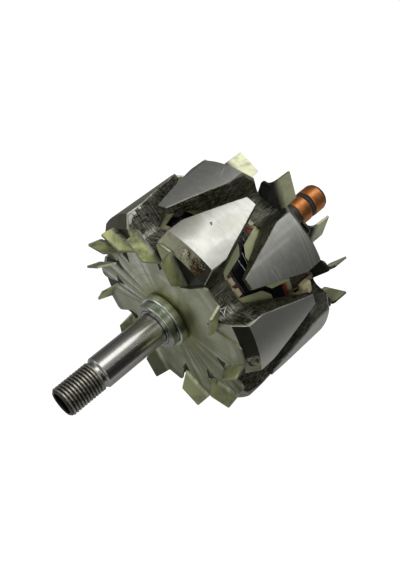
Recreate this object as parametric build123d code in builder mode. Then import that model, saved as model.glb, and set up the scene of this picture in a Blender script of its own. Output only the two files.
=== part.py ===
from build123d import *
import os
from math import cos, hypot, radians, sin

# Alternator rotor, in millimetres. +X runs along the shaft from the drive end to the slip rings and +Z is
# up. The origin is on the shaft axis, at the face that the drive end bearing rests against.
# Angles about the shaft start at +Z and turn towards -Y, which is right-handed about +X.

# Shaft
thread_radius = 7.0
thread_length = 17.9
thread_chamfer = 1.1
socket_radius = 5.2
socket_depth = 12.0
socket_mouth = 0.35
relief_radius = 6.45
relief_width = 1.7
drive_journal_radius = 7.5
drive_journal_length = 32.7
journal_chamfer = 0.8
press_seat_radius = 8.75
slip_journal_radius = 8.5
slip_journal_length = 14.0
stub_radius = 4.5
shaft_end_cover = 1.8

# Collar between the drive end bearing and the fan
collar_length = 8.5
collar_front_radius = 11.5
collar_front_length = 3.8
collar_rear_radius = 12.9
collar_groove = 0.5
collar_chamfer = 0.5
bearing_spacer_radius = 11.0
bearing_spacer_length = 6.6
bearing_spacer_chamfer = 0.8

# Pole pieces
pole_count = 6
pole_radius = 49.7
pole_body_length = 53.9
web_thickness = 13.0
valley_radius = 37.0
valley_fillet = 5.0
face_bevel_length = 4.5
face_bevel_depth = 5.0
claw_half_width = 12.4
claw_flare = 1.0
claw_straight = 12.35
claw_length = 40.0
claw_tip_half_width = 2.7
claw_root_inner_radius = 37.3
claw_tip_thickness = 3.0
claw_edge_break = 0.4
first_drive_claw = 15.0

# Coil between the pole pieces
core_radius = 26.0
paper_thickness = 0.4
flange_thickness = 1.2
bobbin_wall = 1.2
bobbin_radius = 36.2
winding_radius = 35.7
winding_corner = 1.2
tape_thickness = 0.4
tape_margin = 2.4
petal_length = 14.8
petal_lift = 1.8
petal_root_half_width = 14.0
petal_shoulder_length = 11.5
petal_shoulder_half_width = 11.0
petal_end_half_width = 7.0
petal_corner = 2.5
lug_width = 3.2
lug_spread = 5.2
lug_length = 2.0
lug_height = 1.4
lead_lug_length = 6.4
lead_lug_height = 4.6
lead_lug_width = 3.2
lead_lug_offset = 1.4
lead_lug_clearance = 1.4

# Fans, both pressed from the same sheet
sheet = 1.0
blade_corner = 0.6
hub_web_radius = 27.0
fan_edge_radius = 46.0
slot_root_radius = 30.0
slot_root_lag = 2.6
slot_mouth_radius = 34.6
slot_mouth_lead = 3.0
cut_corner_fillet = 2.0

drive_blade_angles = [8.2, 44.4, 81.6, 115.7, 150.6, 186.8, 216.9, 246.9, 272.9, 296.6, 319.9, 343.7]
drive_blade_outer_radius = 46.0
drive_blade_inner_radius = 34.4
drive_blade_sweep = 16.6
drive_blade_fold = 73.2
drive_blade_height = 7.3
drive_blade_outer_shift = 0.4
drive_blade_inner_shift = -5.0
drive_bend_radius = 1.2
drive_cut_lead = 11.0
drive_mouth_lead = 30.0

slip_blade_angles = [13.2, 44.4, 70.1, 96.9, 132.3, 162.1, 191.6, 226.3, 255.1, 281.7, 301.0, 337.2]
slip_blade_outer_radius = 47.0
slip_blade_inner_radius = 35.5
slip_blade_sweep = 12.5
slip_blade_fold = 87.4
slip_blade_height = 11.0
slip_blade_outer_shift = -0.6
slip_blade_inner_shift = -1.5
slip_bend_radius = 4.0
slip_cut_lead = 5.5
slip_mouth_lead = 8.0
slip_blade_dent = 2.4
slip_dent_sweep = 1.8

# Slip rings and the conductors to the coil
ring_radius = 6.95
ring_wall = 1.0
ring_width = 7.0
ring_chamfer = 0.3
ring_gap = 3.2
gap_band_width = 1.4
gap_band_radius = 6.75
moulding_radius = 6.45
moulding_lead_length = 8.5
moulding_end_length = 1.6
moulding_end_chamfer = 0.6
conductor_groove_width = 3.2
conductor_leg_top_gap = 0.3
conductor_width = 1.6
conductor_thickness = 0.6
conductor_lift = 0.4
conductor_tab_radius = 17.0
lead_angle = 75.0
lead_radius = 0.5
lead_groove_width = 3.6
lead_groove_depth = 3.0
lead_bend = 2.0
lead_valley_gap = 0.1
lead_crest_margin = 1.5
lead_end_margin = 1.6
sleeve_wall = 0.6
sleeve_start_gap = 1.0
sleeve_end_gap = 3.0
joint_radius = 1.35
joint_length = 4.0
joint_round = 0.6

# Clearance left between round fits, and the places along the shaft that follow
fit = 0.03
drive_face = collar_length + sheet
slip_face = drive_face + pole_body_length
body_middle = drive_face + pole_body_length / 2
drive_web_end = drive_face + web_thickness
slip_web_end = slip_face - web_thickness
spacer_start = slip_face + sheet
slip_journal_start = spacer_start + bearing_spacer_length
stub_start = slip_journal_start + slip_journal_length
inner_ring_start = stub_start + moulding_lead_length
outer_ring_start = inner_ring_start + ring_width + ring_gap
moulding_end = outer_ring_start + ring_width + moulding_end_length
relief_start = -drive_journal_length - relief_width
thread_start = relief_start - thread_length
pole_pitch = 360 / pole_count
claw_tip_inner_radius = pole_radius - claw_tip_thickness
groove_floor = slip_face - lead_groove_depth
lead_lane = groove_floor + lead_groove_depth / 2
lead_angles = [lead_angle, lead_angle + 180]


def around(radius, angle):
    """Point on a plane that faces along the shaft, at an angle from +Z."""
    return (-radius * sin(radians(angle)), radius * cos(radians(angle)))


def radial_plane(angle):
    """Plane through the shaft axis that faces outwards at an angle, with its own x along the shaft."""
    return Plane.XY.rotated((angle, 0, 0))


def side_plane(angle):
    """Plane that holds the shaft axis and the outward direction at an angle: x along, y outwards."""
    return Plane.XZ.rotated((angle, 0, 0))


def rectangle_between(x_start, x_end, r_start, r_end):
    """Rectangle with its place along the shaft and its distance from the axis both given as a span."""
    with Locations(((x_start + x_end) / 2, (r_start + r_end) / 2)):
        Rectangle(x_end - x_start, r_end - r_start)


def fan_blade(outer_end, inner_end, root_x, facing, fold, bend_radius, height, outer_shift, inner_shift):
    """One blade with its bend and a strip of the sheet that it grows from."""
    outer_point = Vector(root_x, *outer_end)
    inner_point = Vector(root_x, *inner_end)
    middle = (outer_point + inner_point) * 0.5
    half = (inner_point - outer_point).length / 2
    along = (inner_point - outer_point).normalized()
    forward = Vector(facing, 0, 0)
    outward = along.cross(forward)
    if outward.dot(middle - Vector(root_x, 0, 0)) < 0:
        outward = -outward
    rise = outward * cos(radians(fold)) + forward * sin(radians(fold))
    run = height + sheet / 2
    with BuildPart() as blade:
        with BuildSketch(Plane(origin=middle, x_dir=outward, z_dir=outward.cross(forward))):
            with BuildLine():
                FilletPolyline(
                    (-sheet - bend_radius, sheet / 2),
                    (0, sheet / 2),
                    (run * cos(radians(fold)), sheet / 2 + run * sin(radians(fold))),
                    radius=bend_radius,
                )
            trace(line_width=sheet)
        extrude(amount=half, both=True)
        with BuildSketch(Plane(origin=middle, x_dir=along, z_dir=along.cross(rise))) as outline:
            with BuildLine():
                Polyline(
                    (-half, -2 * sheet - bend_radius),
                    (half, -2 * sheet - bend_radius),
                    (half, sheet),
                    (half + inner_shift, height + sheet),
                    (-half + outer_shift, height + sheet),
                    (-half, sheet),
                    close=True,
                )
            make_face()
            fillet(outline.vertices().group_by(Axis.Y)[-1], radius=blade_corner)
        extrude(amount=3 * sheet + bend_radius, both=True, mode=Mode.INTERSECT)
    return blade.part


def fan_sheet(front, outer_ends, inner_ends, cut_lead, mouth_lead):
    """Flat part of a fan: a sector for each blade, cut away ahead of it and slotted at its root.

    A blade's two ends are each a distance from the axis and an angle.
    """
    corner_points = []
    with BuildPart() as plate:
        with BuildSketch(Plane.YZ.offset(front)) as outline:
            Circle(hub_web_radius)
            for i, (outer_end, inner_end) in enumerate(zip(outer_ends, inner_ends)):
                last_root = inner_ends[i - 1][1] - (360 if i == 0 else 0)
                mouth_angle = max(last_root + slot_mouth_lead, outer_end[1] - mouth_lead)
                corner_angle = max(outer_end[1] - cut_lead, last_root - slot_mouth_lead)
                corner_points.append(around(fan_edge_radius, corner_angle))
                with BuildLine():
                    Polyline(
                        (0, 0),
                        around(slot_root_radius, last_root - slot_root_lag),
                        around(slot_mouth_radius, mouth_angle),
                        corner_points[-1],
                        around(*outer_end),
                        around(*inner_end),
                        around(slot_root_radius, inner_end[1] - slot_root_lag),
                        close=True,
                    )
                make_face()
            cut_corners = outline.vertices().filter_by(
                lambda v: min(hypot(v.X - x, v.Y - y) for x, y in corner_points) < fit
            )
            fillet(cut_corners, radius=cut_corner_fillet)
            Circle(press_seat_radius + fit, mode=Mode.SUBTRACT)
        extrude(amount=sheet)
    return plate.part


os.makedirs("parts", exist_ok=True)

# Shaft, turned in one piece: thread, relief, drive end seat, knurled press seat, slip ring end seat, stub
with BuildPart() as shaft:
    with BuildSketch(Plane.XZ):
        with BuildLine():
            Polyline(
                (thread_start, 0),
                (thread_start, thread_radius),
                (relief_start, thread_radius),
                (relief_start, relief_radius),
                (-drive_journal_length, relief_radius),
                (-drive_journal_length, drive_journal_radius),
                (0, drive_journal_radius),
                (0, press_seat_radius),
                (slip_journal_start, press_seat_radius),
                (slip_journal_start, slip_journal_radius),
                (stub_start, slip_journal_radius),
                (stub_start, stub_radius),
                (moulding_end - shaft_end_cover, stub_radius),
                (moulding_end - shaft_end_cover, 0),
                close=True,
            )
        make_face()
    revolve(axis=Axis.X)
    chamfer(shaft.edges().group_by(Axis.X)[0], length=thread_chamfer)
    journal_edges = shaft.edges().filter_by(GeomType.CIRCLE)
    journal_edges = journal_edges.filter_by_position(
        Axis.X, -drive_journal_length - fit, -drive_journal_length + fit
    )
    chamfer(journal_edges.sort_by(SortBy.RADIUS)[-1], length=journal_chamfer)
    with Locations(Plane(origin=(thread_start, 0, 0), z_dir=(-1, 0, 0))):
        CounterSinkHole(
            socket_radius, socket_radius + socket_mouth, depth=socket_depth, counter_sink_angle=90
        )
    with BuildSketch(Plane.YZ.offset(groove_floor)):
        with PolarLocations(stub_radius + press_seat_radius / 2, 2, start_angle=lead_angle + 90):
            Rectangle(press_seat_radius, conductor_groove_width)
    extrude(amount=stub_start - groove_floor, mode=Mode.SUBTRACT)
shaft.part.label = "shaft"
export_step(shaft.part, "parts/shaft.step")

# Stepped collar that holds the bearing off the fan, necked where it meets the sheet
with BuildPart() as stop_collar:
    with BuildSketch(Plane.XZ) as collar_profile:
        rectangle_between(
            0, collar_front_length, press_seat_radius + fit, collar_front_radius
        )
        rectangle_between(
            collar_front_length,
            collar_length - collar_groove,
            press_seat_radius + fit,
            collar_rear_radius,
        )
        rectangle_between(
            collar_length - collar_groove,
            collar_length,
            press_seat_radius + fit,
            collar_rear_radius - 2 * collar_groove,
        )
        outer_corners = collar_profile.vertices().group_by(Axis.Y)
        chamfer(outer_corners[-1], length=collar_chamfer)
    revolve(axis=Axis.X)
    chamfer(stop_collar.edges().group_by(Axis.X)[0].sort_by(SortBy.RADIUS)[-1], length=collar_chamfer)
    with BuildSketch(Plane.XZ):
        rectangle_between(
            collar_front_length - collar_groove,
            collar_front_length,
            collar_front_radius - collar_groove,
            collar_front_radius,
        )
    revolve(axis=Axis.X, mode=Mode.SUBTRACT)
stop_collar.part.label = "stop_collar"
export_step(stop_collar.part, "parts/stop_collar.step")

# Drive end fan: flat sheet against the pole face, with the blades folded forwards
drive_outer_ends = [(drive_blade_outer_radius, angle) for angle in drive_blade_angles]
drive_inner_ends = [(drive_blade_inner_radius, angle + drive_blade_sweep) for angle in drive_blade_angles]
drive_blades = [
    fan_blade(
        around(*outer_end),
        around(*inner_end),
        drive_face,
        -1,
        drive_blade_fold,
        drive_bend_radius,
        drive_blade_height,
        drive_blade_outer_shift,
        drive_blade_inner_shift,
    )
    for outer_end, inner_end in zip(drive_outer_ends, drive_inner_ends)
]
drive_fan_sheet = fan_sheet(
    collar_length, drive_outer_ends, drive_inner_ends, drive_cut_lead, drive_mouth_lead
)
with BuildPart() as drive_end_fan:
    add(drive_fan_sheet)
    add(drive_blades)
drive_end_fan.part.label = "drive_end_fan"
export_step(drive_end_fan.part, "parts/drive_end_fan.step")

# Slip ring end fan: the same sheet with taller blades that sweep up backwards, the last one knocked in
slip_outer_ends = [(slip_blade_outer_radius, angle) for angle in slip_blade_angles]
slip_inner_ends = [(slip_blade_inner_radius, angle + slip_blade_sweep) for angle in slip_blade_angles]
slip_outer_ends[-1] = (slip_blade_outer_radius - slip_blade_dent, slip_blade_angles[-1])
slip_inner_ends[-1] = (slip_blade_inner_radius, slip_inner_ends[-1][1] + slip_dent_sweep)
slip_blades = [
    fan_blade(
        around(*outer_end),
        around(*inner_end),
        slip_face,
        1,
        slip_blade_fold,
        slip_bend_radius,
        slip_blade_height,
        slip_blade_outer_shift,
        slip_blade_inner_shift,
    )
    for outer_end, inner_end in zip(slip_outer_ends, slip_inner_ends)
]
slip_fan_sheet = fan_sheet(slip_face, slip_outer_ends, slip_inner_ends, slip_cut_lead, slip_mouth_lead)
with BuildPart() as slip_ring_end_fan:
    add(slip_fan_sheet)
    add(slip_blades)
slip_ring_end_fan.part.label = "slip_ring_end_fan"
export_step(slip_ring_end_fan.part, "parts/slip_ring_end_fan.step")

# Pole piece: a thick star whose six arms turn over into tapered claws
with BuildPart() as drive_end_pole_piece:
    with BuildSketch(Plane.YZ.offset(drive_face)) as star:
        Circle(valley_radius)
        with PolarLocations(pole_radius / 2, pole_count, start_angle=first_drive_claw + 90):
            Rectangle(pole_radius, 2 * claw_half_width)
        valley_corners = star.vertices().filter_by(lambda v: abs(hypot(v.X, v.Y) - valley_radius) < fit)
        fillet(valley_corners, radius=valley_fillet)
    extrude(amount=web_thickness)
    for claw in range(pole_count):
        with BuildSketch(radial_plane(first_drive_claw + claw * pole_pitch)):
            with BuildLine():
                Polyline(
                    (drive_face, 0),
                    (drive_face, claw_half_width + claw_flare),
                    (drive_face + face_bevel_length, claw_half_width),
                    (drive_face + claw_straight, claw_half_width),
                    (drive_face + claw_length, claw_tip_half_width),
                    (drive_face + claw_length, 0),
                )
                mirror(about=Plane.XZ)
            make_face()
        extrude(amount=pole_radius + sheet)
    with BuildSketch(Plane.XZ):
        with BuildLine():
            Polyline(
                (drive_face, press_seat_radius + fit),
                (drive_face, pole_radius - face_bevel_depth),
                (drive_face + face_bevel_length, pole_radius),
                (drive_face + claw_length, pole_radius),
                (drive_face + claw_length, claw_tip_inner_radius),
                (drive_web_end, claw_root_inner_radius),
                (drive_web_end, press_seat_radius + fit),
                close=True,
            )
        make_face()
    revolve(axis=Axis.X, mode=Mode.INTERSECT)
    rim_edges = drive_end_pole_piece.edges().filter_by(
        lambda e: all(hypot(v.Y, v.Z) > pole_radius - fit for v in e.vertices())
    )
    claw_edges = rim_edges.filter_by(lambda e: e.bounding_box().max.X > drive_face + face_bevel_length + fit)
    chamfer(claw_edges, length=claw_edge_break)
drive_end_pole_piece.part.label = "drive_end_pole_piece"
export_step(drive_end_pole_piece.part, "parts/drive_end_pole_piece.step")

# The other pole piece is the same forging turned round by half a pitch, with two grooves for the leads
with BuildPart() as slip_ring_end_pole_piece:
    with Locations(Rotation(pole_pitch / 2, 0, 0)):
        add(drive_end_pole_piece.part.mirror(Plane.YZ.offset(body_middle)))
    with BuildSketch(Plane.YZ.offset(groove_floor)):
        with PolarLocations(pole_radius / 2, 2, start_angle=lead_angle + 90):
            Rectangle(pole_radius, lead_groove_width)
    extrude(amount=lead_groove_depth, mode=Mode.SUBTRACT)
slip_ring_end_pole_piece.part.label = "slip_ring_end_pole_piece"
export_step(slip_ring_end_pole_piece.part, "parts/slip_ring_end_pole_piece.step")

# Core ring that carries the flux from one pole piece to the other, inside the coil
with BuildPart() as pole_core:
    with BuildSketch(Plane.YZ.offset(drive_web_end)):
        Circle(core_radius)
        Circle(press_seat_radius + fit, mode=Mode.SUBTRACT)
    extrude(amount=slip_web_end - drive_web_end)
pole_core.part.label = "pole_core"
export_step(pole_core.part, "parts/pole_core.step")

# Bobbin: tube and two flanges, with small lugs in the valleys and two tall ones beside the leads
bobbin_start = drive_web_end + paper_thickness
bobbin_end = slip_web_end - paper_thickness
with BuildPart() as coil_bobbin:
    with BuildSketch(Plane.XZ):
        rectangle_between(bobbin_start, bobbin_end, core_radius + fit, core_radius + bobbin_wall)
        rectangle_between(bobbin_start, bobbin_start + flange_thickness, core_radius + fit, bobbin_radius)
        rectangle_between(bobbin_end - flange_thickness, bobbin_end, core_radius + fit, bobbin_radius)
    revolve(axis=Axis.X)
    for valley in range(pole_count):
        drive_valley = first_drive_claw + (valley + 0.5) * pole_pitch
        slip_valley = first_drive_claw + valley * pole_pitch
        lug_places = [(drive_valley, bobbin_start), (slip_valley, bobbin_end - lug_length)]
        for valley_angle, lug_start in lug_places:
            if valley_angle % 180 == lead_angle % 180:
                continue
            with BuildSketch(radial_plane(valley_angle).offset(core_radius + bobbin_wall)):
                with Locations((lug_start + lug_length / 2, 0)):
                    with GridLocations(0, lug_spread, 1, 2):
                        Rectangle(lug_length, lug_width)
            extrude(amount=bobbin_radius + lug_height - core_radius - bobbin_wall)
    for angle in lead_angles:
        with BuildSketch(side_plane(angle).offset(lead_lug_offset)):
            rectangle_between(
                bobbin_end - flange_thickness,
                bobbin_end - flange_thickness + lead_lug_length,
                valley_radius + lead_lug_clearance,
                bobbin_radius + lead_lug_height,
            )
            rectangle_between(
                bobbin_end - flange_thickness,
                bobbin_end,
                bobbin_radius - flange_thickness,
                valley_radius + lead_lug_clearance,
            )
        extrude(amount=lead_lug_width)
coil_bobbin.part.label = "coil_bobbin"
export_step(coil_bobbin.part, "parts/coil_bobbin.step")

# Field winding, a wound block that fills the bobbin
winding_start = bobbin_start + flange_thickness
winding_end = bobbin_end - flange_thickness
with BuildPart() as field_winding:
    with BuildSketch(Plane.XZ) as winding_profile:
        rectangle_between(winding_start, winding_end, core_radius + bobbin_wall + fit, winding_radius)
        fillet(winding_profile.vertices().group_by(Axis.Y)[-1], radius=winding_corner)
    revolve(axis=Axis.X)
    add(coil_bobbin.part, mode=Mode.SUBTRACT)
field_winding.part.label = "field_winding"
export_step(field_winding.part, "parts/field_winding.step")

# Tape wound over the coil, short of the flanges so that the wire shows beside it
with BuildPart() as winding_tape:
    with BuildSketch(Plane.XZ):
        rectangle_between(
            winding_start + tape_margin,
            winding_end - tape_margin,
            winding_radius + fit,
            winding_radius + fit + tape_thickness,
        )
    revolve(axis=Axis.X)
winding_tape.part.label = "winding_tape"
export_step(winding_tape.part, "parts/winding_tape.step")

# Insulating paper: a star that lies against the web, with a petal folded over the coil under each claw
petal_inner_radius = max(winding_radius + tape_thickness, bobbin_radius) + 2 * fit
with BuildPart() as drive_end_insulating_paper:
    for petal in range(pole_count):
        with BuildSketch(radial_plane(first_drive_claw + petal * pole_pitch)) as petal_outline:
            with BuildLine():
                Polyline(
                    (drive_web_end, 0),
                    (drive_web_end, petal_root_half_width),
                    (drive_web_end + petal_shoulder_length, petal_shoulder_half_width),
                    (drive_web_end + petal_length, petal_end_half_width),
                    (drive_web_end + petal_length, 0),
                )
                mirror(about=Plane.XZ)
            make_face()
            petal_corners = petal_outline.vertices().filter_by(lambda v: v.X > drive_web_end + fit)
            fillet(petal_corners, radius=petal_corner)
        extrude(amount=pole_radius)
    with BuildSketch(Plane.XZ):
        with BuildLine():
            Polyline(
                (drive_web_end, petal_inner_radius),
                (drive_web_end, petal_inner_radius + paper_thickness),
                (drive_web_end + petal_length, petal_inner_radius + petal_lift + paper_thickness),
                (drive_web_end + petal_length, petal_inner_radius + petal_lift),
                close=True,
            )
        make_face()
    revolve(axis=Axis.X, mode=Mode.INTERSECT)
    with BuildSketch(Plane.YZ.offset(drive_web_end)):
        Circle(petal_inner_radius + fit)
        Circle(core_radius + fit, mode=Mode.SUBTRACT)
    extrude(amount=paper_thickness)
drive_end_insulating_paper.part.label = "drive_end_insulating_paper"
export_step(drive_end_insulating_paper.part, "parts/drive_end_insulating_paper.step")

with BuildPart() as slip_ring_end_insulating_paper:
    with Locations(Rotation(pole_pitch / 2, 0, 0)):
        add(drive_end_insulating_paper.part.mirror(Plane.YZ.offset(body_middle)))
slip_ring_end_insulating_paper.part.label = "slip_ring_end_insulating_paper"
export_step(slip_ring_end_insulating_paper.part, "parts/slip_ring_end_insulating_paper.step")

# Spacer between the slip ring end fan and that end's bearing
with BuildPart() as bearing_spacer:
    with BuildSketch(Plane.YZ.offset(spacer_start)):
        Circle(bearing_spacer_radius)
        Circle(press_seat_radius + fit, mode=Mode.SUBTRACT)
    extrude(amount=bearing_spacer_length)
    chamfer(bearing_spacer.edges().group_by(Axis.X)[-1].sort_by(SortBy.RADIUS)[-1], bearing_spacer_chamfer)
bearing_spacer.part.label = "bearing_spacer"
export_step(bearing_spacer.part, "parts/bearing_spacer.step")

# Slip rings
with BuildPart() as inner_slip_ring:
    with BuildSketch(Plane.YZ.offset(inner_ring_start)):
        Circle(ring_radius)
        Circle(ring_radius - ring_wall, mode=Mode.SUBTRACT)
    extrude(amount=ring_width)
    for end in (0, -1):
        end_edges = inner_slip_ring.edges().group_by(Axis.X)[end]
        chamfer(end_edges.sort_by(SortBy.RADIUS)[-1], length=ring_chamfer)
inner_slip_ring.part.label = "inner_slip_ring"
export_step(inner_slip_ring.part, "parts/inner_slip_ring.step")

with BuildPart() as outer_slip_ring:
    with Locations((ring_width + ring_gap, 0, 0)):
        add(inner_slip_ring.part)
outer_slip_ring.part.label = "outer_slip_ring"
export_step(outer_slip_ring.part, "parts/outer_slip_ring.step")

# Conductors: flat strips that stand against their ring, run forwards in the shaft's grooves and turn out
# into the pole piece's grooves, where they end in a tab
strip_low = stub_radius + conductor_lift
strip_high = strip_low + conductor_thickness


def ring_conductor(angle, ring_start):
    """Strip from the middle of a ring to its tab."""
    with BuildPart() as strip:
        with BuildSketch(side_plane(angle)):
            ring_middle = ring_start + ring_width / 2
            rectangle_between(lead_lane, ring_middle, strip_low, strip_high)
            rectangle_between(
                ring_middle - conductor_width, ring_middle, strip_low, ring_radius - ring_wall - fit
            )
            rectangle_between(
                lead_lane - conductor_thickness / 2,
                lead_lane + conductor_thickness / 2,
                strip_low,
                conductor_tab_radius,
            )
        extrude(amount=conductor_width / 2, both=True)
    return strip.part


with BuildPart() as inner_ring_conductor:
    add(ring_conductor(lead_angles[0], inner_ring_start))
inner_ring_conductor.part.label = "inner_ring_conductor"
export_step(inner_ring_conductor.part, "parts/inner_ring_conductor.step")

with BuildPart() as outer_ring_conductor:
    add(ring_conductor(lead_angles[1], outer_ring_start))
outer_ring_conductor.part.label = "outer_ring_conductor"
export_step(outer_ring_conductor.part, "parts/outer_ring_conductor.step")

# Insulating moulding on the stub, with a leg in each groove of the shaft, moulded round the conductors
inner_ring_end = inner_ring_start + ring_width
outer_ring_end = outer_ring_start + ring_width
ring_bed = ring_radius - ring_wall - fit
moulding_bore = stub_radius + fit
with BuildPart() as slip_ring_moulding:
    with BuildSketch(Plane.XZ):
        with BuildLine():
            Polyline(
                (stub_start, moulding_bore),
                (stub_start, moulding_radius),
                (inner_ring_start, moulding_radius),
                (inner_ring_start, ring_bed),
                (inner_ring_end, ring_bed),
                (inner_ring_end, moulding_radius),
                (outer_ring_start, moulding_radius),
                (outer_ring_start, ring_bed),
                (outer_ring_end, ring_bed),
                (outer_ring_end, moulding_radius),
                (moulding_end, moulding_radius),
                (moulding_end, 0),
                (moulding_end - shaft_end_cover, 0),
                (moulding_end - shaft_end_cover, moulding_bore),
                close=True,
            )
        make_face()
        gap_middle = (inner_ring_end + outer_ring_start) / 2
        rectangle_between(
            gap_middle - gap_band_width / 2, gap_middle + gap_band_width / 2, ring_bed, gap_band_radius
        )
    revolve(axis=Axis.X)
    chamfer(slip_ring_moulding.edges().group_by(Axis.X)[-1], length=moulding_end_chamfer)
    for angle in lead_angles:
        with BuildSketch(side_plane(angle)):
            rectangle_between(
                lead_lane + conductor_thickness,
                stub_start,
                moulding_bore,
                slip_journal_radius - conductor_leg_top_gap,
            )
        extrude(amount=conductor_groove_width / 2 - fit, both=True)
    add(inner_ring_conductor.part, mode=Mode.SUBTRACT)
    add(outer_ring_conductor.part, mode=Mode.SUBTRACT)
slip_ring_moulding.part.label = "slip_ring_moulding"
export_step(slip_ring_moulding.part, "parts/slip_ring_moulding.step")

# Leads: each leaves the coil over the flange, runs back along a valley, drops into its groove under the
# fan and ends at the conductor's tab. A sleeve covers the stretch that lies against steel.
lead_lane_radius = valley_radius + lead_valley_gap + sleeve_wall + lead_radius
lead_start = (lead_lane, conductor_tab_radius + fit)
lead_corner = (lead_lane, lead_lane_radius)
lead_crest = (bobbin_end + lead_crest_margin, lead_lane_radius)
lead_end = (winding_end - lead_end_margin, winding_radius + lead_radius + fit)
sleeve_start = (lead_lane, conductor_tab_radius + joint_length / 2 + sleeve_start_gap)
sleeve_end = (bobbin_end + sleeve_end_gap, lead_lane_radius)


def field_lead(angle):
    """Bare wire from the tab to the coil."""
    with BuildPart() as wire:
        with BuildLine(side_plane(angle)) as route:
            FilletPolyline(lead_start, lead_corner, lead_crest, lead_end, radius=lead_bend)
        with BuildSketch(Plane(origin=route.line @ 0, z_dir=route.line % 0)):
            Circle(lead_radius)
        sweep()
    return wire.part


def lead_sleeve(angle):
    """Tube over the wire along its groove and its valley."""
    with BuildPart() as tube:
        with BuildLine(side_plane(angle)) as route:
            FilletPolyline(sleeve_start, lead_corner, sleeve_end, radius=lead_bend)
        with BuildSketch(Plane(origin=route.line @ 0, z_dir=route.line % 0)):
            Circle(lead_radius + sleeve_wall)
            Circle(lead_radius + fit, mode=Mode.SUBTRACT)
        sweep()
    return tube.part


with BuildPart() as inner_field_lead:
    add(field_lead(lead_angles[0]))
inner_field_lead.part.label = "inner_field_lead"
export_step(inner_field_lead.part, "parts/inner_field_lead.step")

with BuildPart() as outer_field_lead:
    add(field_lead(lead_angles[1]))
outer_field_lead.part.label = "outer_field_lead"
export_step(outer_field_lead.part, "parts/outer_field_lead.step")

with BuildPart() as inner_lead_sleeve:
    add(lead_sleeve(lead_angles[0]))
inner_lead_sleeve.part.label = "inner_lead_sleeve"
export_step(inner_lead_sleeve.part, "parts/inner_lead_sleeve.step")

with BuildPart() as outer_lead_sleeve:
    add(lead_sleeve(lead_angles[1]))
outer_lead_sleeve.part.label = "outer_lead_sleeve"
export_step(outer_lead_sleeve.part, "parts/outer_lead_sleeve.step")

# Solder joints, one rounded bead over each tab and wire end
with BuildPart() as lead_solder_joints:
    for angle in lead_angles:
        tab_end = Vector(lead_lane, *around(conductor_tab_radius, angle))
        with BuildSketch(Plane(origin=tab_end, z_dir=tab_end - Vector(lead_lane, 0, 0))):
            Circle(joint_radius)
        extrude(amount=joint_length / 2, both=True)
    fillet(lead_solder_joints.edges().filter_by(GeomType.CIRCLE), radius=joint_round)
    for wire_or_strip in (inner_ring_conductor, outer_ring_conductor, inner_field_lead, outer_field_lead):
        add(wire_or_strip.part, mode=Mode.SUBTRACT)
lead_solder_joints.part.label = "lead_solder_joints"
export_step(lead_solder_joints.part, "parts/lead_solder_joints.step")
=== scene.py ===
import itertools
import math
import bpy
import bmesh
import numpy as np
from mathutils import Matrix, Vector


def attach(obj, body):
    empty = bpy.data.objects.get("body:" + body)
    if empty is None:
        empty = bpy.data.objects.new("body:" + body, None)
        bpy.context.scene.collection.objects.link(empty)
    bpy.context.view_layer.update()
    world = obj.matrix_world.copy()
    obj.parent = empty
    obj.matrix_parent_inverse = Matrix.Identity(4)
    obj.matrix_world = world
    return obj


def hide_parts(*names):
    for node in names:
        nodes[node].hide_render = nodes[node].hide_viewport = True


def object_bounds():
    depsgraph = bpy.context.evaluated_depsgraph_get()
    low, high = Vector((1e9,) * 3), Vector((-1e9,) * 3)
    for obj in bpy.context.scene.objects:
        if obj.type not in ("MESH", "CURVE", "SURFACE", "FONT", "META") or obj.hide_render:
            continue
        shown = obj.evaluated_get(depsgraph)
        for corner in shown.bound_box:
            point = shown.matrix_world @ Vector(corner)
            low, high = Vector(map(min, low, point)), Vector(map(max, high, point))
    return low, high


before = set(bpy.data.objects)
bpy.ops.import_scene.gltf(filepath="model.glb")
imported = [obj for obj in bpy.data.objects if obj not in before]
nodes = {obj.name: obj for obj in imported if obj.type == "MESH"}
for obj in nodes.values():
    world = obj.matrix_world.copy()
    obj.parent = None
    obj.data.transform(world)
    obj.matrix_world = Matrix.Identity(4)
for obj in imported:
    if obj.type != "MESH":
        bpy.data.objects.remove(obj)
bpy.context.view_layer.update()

mm = 0.001
perMetre = 1000
creaseAngle = 32        # degrees; edges of the CAD's own shapes that turn more stay sharp


# Shader maths

class Wire:
    # an output socket for use in Python expressions; each operator adds a Math node
    def __init__(self, shader, socket):
        self.shader, self.socket = shader, socket

    def math(self, kind, *others):
        return self.shader.node("Math", [self, *others], operation=kind)

    def __add__(self, other): return self.math("ADD", other)
    def __radd__(self, other): return self.math("ADD", other)
    def __mul__(self, other): return self.math("MULTIPLY", other)
    def __rmul__(self, other): return self.math("MULTIPLY", other)
    def __sub__(self, other): return self.math("SUBTRACT", other)
    def __rsub__(self, other): return self.shader.node("Math", [other, self], operation="SUBTRACT")
    def __truediv__(self, other): return self.math("DIVIDE", other)
    def __pow__(self, other): return self.math("POWER", other)
    def absolute(self): return self.math("ABSOLUTE")
    def most(self, other): return self.math("MAXIMUM", other)
    def least(self, other): return self.math("MINIMUM", other)

    def step(self, low, high):
        # 0 at low and 1 at high with a smooth rise; low may be the larger
        values = {"Value": self, "From Min": low, "From Max": high}
        return self.shader.node("MapRange", values, interpolation_type="SMOOTHSTEP")

    def band(self, middle, half, soft):
        # 1 within half of middle, falling to 0 over soft
        return (self - middle).absolute().step(half + soft, half)

    def between(self, low, high, soft):
        return self.band((low + high) / 2, (high - low) / 2, soft)

    def lay(self, factor, tone):
        # lays another colour over this one
        self.socket = self.shader.mix(factor, self, tone).socket


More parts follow.
